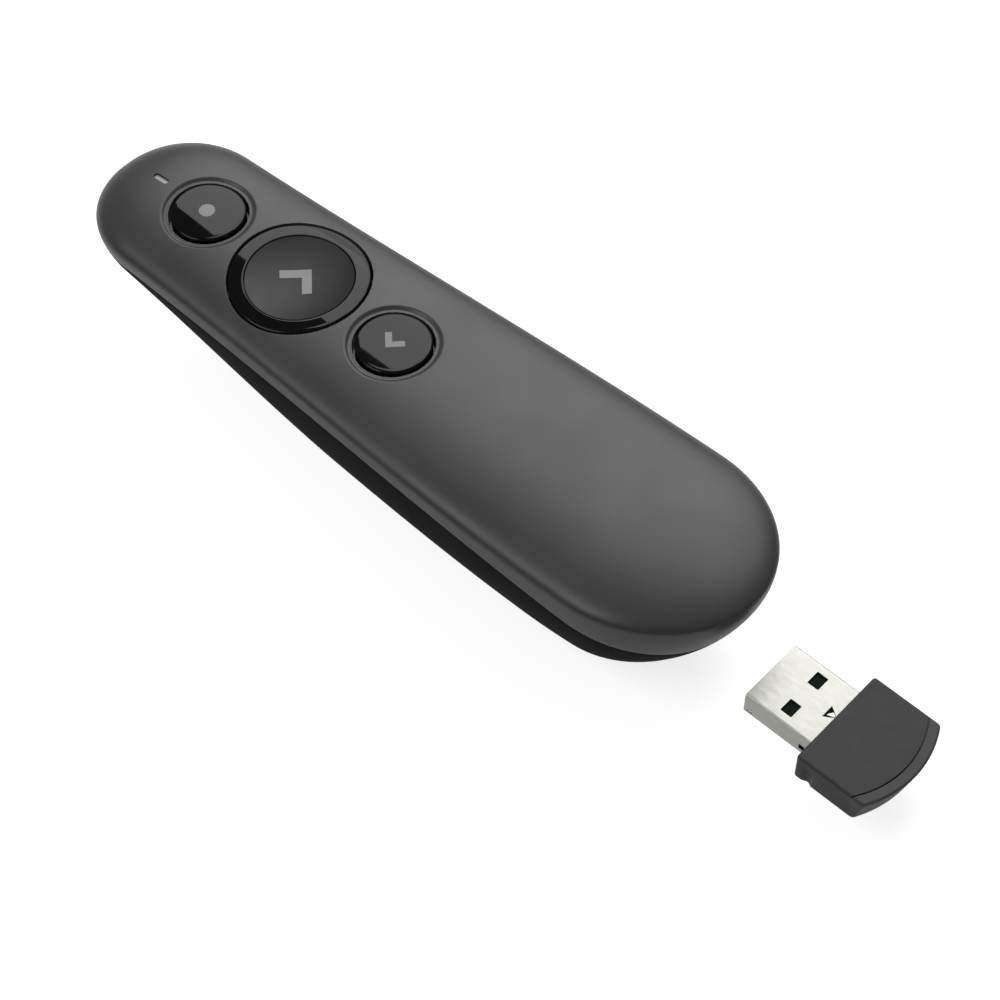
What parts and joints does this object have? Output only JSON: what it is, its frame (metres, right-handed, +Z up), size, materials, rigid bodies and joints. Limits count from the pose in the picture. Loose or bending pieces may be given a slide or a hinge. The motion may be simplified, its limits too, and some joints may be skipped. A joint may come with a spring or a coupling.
{
  "type": "wireless presentation clicker",
  "caption": "Hand-held presentation remote with sprung page and laser buttons in a rounded soft-touch case, a battery door below and a USB receiver that stows in its tail.",
  "frame": {"origin": "on the flat foot of the belly, half way along the handset, on its symmetry plane", "axes": "+Y the way the laser points, along the handset; +X the holder's right; +Z up, out of the buttons"},
  "size_m": [0.0372, 0.1681, 0.0272],
  "materials": {
    "soft_touch_case": "soft-touch charcoal",
    "gloss_black": "polished piano black",
    "satin_black": "satin",
    "light_plastic": "moulded",
    "switch_steel": "stamped",
    "circuit_board": "green solder mask",
    "chip_resin": "moulded epoxy",
    "can_steel": "drawn",
    "ceramic_chip": "fired ceramic",
    "led_resin": "clear resin",
    "light_pipe": "frosted polycarbonate",
    "screw_steel": "zinc plated",
    "laser_brass": "turned",
    "window_glass": "polished",
    "inner_plastic": "moulded",
    "battery_label": "printed sleeve",
    "contact_nickel": "nickel plated",
    "receiver_plastic": "soft-touch charcoal",
    "plug_nickel": "nickel plated",
    "gold_finger": "gold flash"
  },
  "bodies": {
    "handset": {"upper_shell": "soft_touch_case", "lower_shell": "soft_touch_case", "main_board": "circuit_board", "tact_switches": "switch_steel", "radio_chip": "chip_resin", "crystal_can": "can_steel", "board_parts": "ceramic_chip", "status_led": "led_resin", "led_light_pipe": "light_pipe", "case_screws": "screw_steel", "laser_barrel": "laser_brass", "laser_diode": "can_steel", "laser_bezel": "gloss_black", "laser_window": "window_glass", "battery_tray": "inner_plastic", "aaa_battery": "battery_label", "battery_contact_plate": "contact_nickel", "battery_contact_spring": "contact_nickel", "receiver_dock": "inner_plastic"},
    "laser_key": {"laser_button": "gloss_black", "laser_plunger": "light_plastic"},
    "next_key": {"next_button": "gloss_black", "next_button_pad": "satin_black", "next_plunger": "light_plastic"},
    "back_key": {"back_button": "gloss_black", "back_plunger": "light_plastic"},
    "door": {"battery_door": "soft_touch_case"},
    "receiver": {"receiver_cap": "receiver_plastic", "usb_shell": "plug_nickel", "usb_board": "circuit_board", "usb_contacts": "gold_finger", "receiver_chip": "chip_resin"}
  },
  "joints": [
    {"name": "laser_press", "type": "slide", "parent": "handset", "child": "laser_key", "axis": [0, 0, -1], "range_m": [0, 0.0005], "stiffness_N_per_m": 1500, "springref_m": -0.0003},
    {"name": "next_press", "type": "slide", "parent": "handset", "child": "next_key", "axis": [0, 0, -1], "range_m": [0, 0.0006], "stiffness_N_per_m": 1500, "springref_m": -0.0003},
    {"name": "back_press", "type": "slide", "parent": "handset", "child": "back_key", "axis": [0, 0, -1], "range_m": [0, 0.0005], "stiffness_N_per_m": 1500, "springref_m": -0.0003},
    {"name": "door_swing", "type": "hinge", "parent": "handset", "child": "door", "pos_m": [0, 0.0174, 0.00059], "axis": [1, 0, 0], "range_deg": [0, 60]},
    {"name": "receiver_stow", "type": "slide", "parent": "handset", "child": "receiver", "axis": [0, 1, 0], "range_m": [0, 0.039]}
  ]
}
